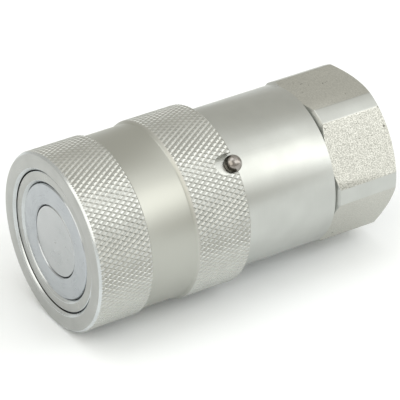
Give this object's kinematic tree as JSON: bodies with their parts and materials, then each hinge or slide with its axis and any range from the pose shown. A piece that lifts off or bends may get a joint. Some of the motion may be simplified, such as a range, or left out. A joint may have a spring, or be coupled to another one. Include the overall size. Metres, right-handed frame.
{
  "type": "quick disconnect coupler",
  "caption": "Flat-face hydraulic quick disconnect coupler socket with a knurled locking sleeve, a sliding valve, a notched safety lock and a threaded hexagon port.",
  "frame": {"origin": "centre of the port's mouth, on the rear face of the hexagon", "axes": "+X along the coupler's axis, out of the port, with the sleeve's front face at -X; +Z out of a flat of the hexagon"},
  "size_m": [0.0735, 0.038, 0.038],
  "materials": {
    "knurled_zinc": "turned and knurled steel, bright zinc plated",
    "turned_zinc": "turned steel, bright zinc plated, with fine turning marks",
    "hexagon_zinc": "drawn hexagon bar with turned corners, bright zinc plated, granular flats",
    "valve_steel": "ground and polished hard steel with a cool blue cast",
    "ball_steel": "polished bearing steel",
    "spring_steel": "drawn spring wire",
    "nitrile": "satin nitrile rubber",
    "ptfe": "matte white PTFE"
  },
  "bodies": {
    "coupler": {"coupler_body": "turned_zinc", "port_adapter": "hexagon_zinc", "poppet": "turned_zinc", "poppet_seal": "nitrile", "poppet_spider": "turned_zinc", "poppet_lock_washer": "spring_steel", "poppet_nut": "turned_zinc", "valve_spring_seat": "spring_steel", "locking_balls": "ball_steel", "safety_ball": "ball_steel", "sleeve_stop_ring": "spring_steel", "nipple_o_ring": "nitrile", "nipple_backup_ring": "ptfe", "adapter_o_ring": "nitrile", "adapter_backup_ring": "ptfe", "valve_spring": "spring_steel"},
    "spring_pack": {"sleeve_spring": "spring_steel", "sleeve_spring_washer": "spring_steel"},
    "sleeve": {"locking_sleeve": "knurled_zinc"},
    "valve": {"valve_sleeve": "valve_steel", "valve_wear_ring": "ptfe"}
  },
  "joints": [
    {"name": "sleeve_turn", "type": "hinge", "parent": "coupler", "child": "spring_pack", "pos_m": [-0.05, 0, 0], "axis": [1, 0, 0], "range_deg": [-0.9, 0.9]},
    {"name": "sleeve_slide", "type": "slide", "parent": "spring_pack", "child": "sleeve", "axis": [1, 0, 0], "range_m": [0, 0.0025], "stiffness_N_per_m": 3000, "springref_m": -0.008, "deforming": ["sleeve_spring"]},
    {"name": "valve_slide", "type": "slide", "parent": "coupler", "child": "valve", "axis": [1, 0, 0], "range_m": [0, 0.011], "stiffness_N_per_m": 2500, "springref_m": -0.012, "deforming": ["valve_spring"]}
  ]
}
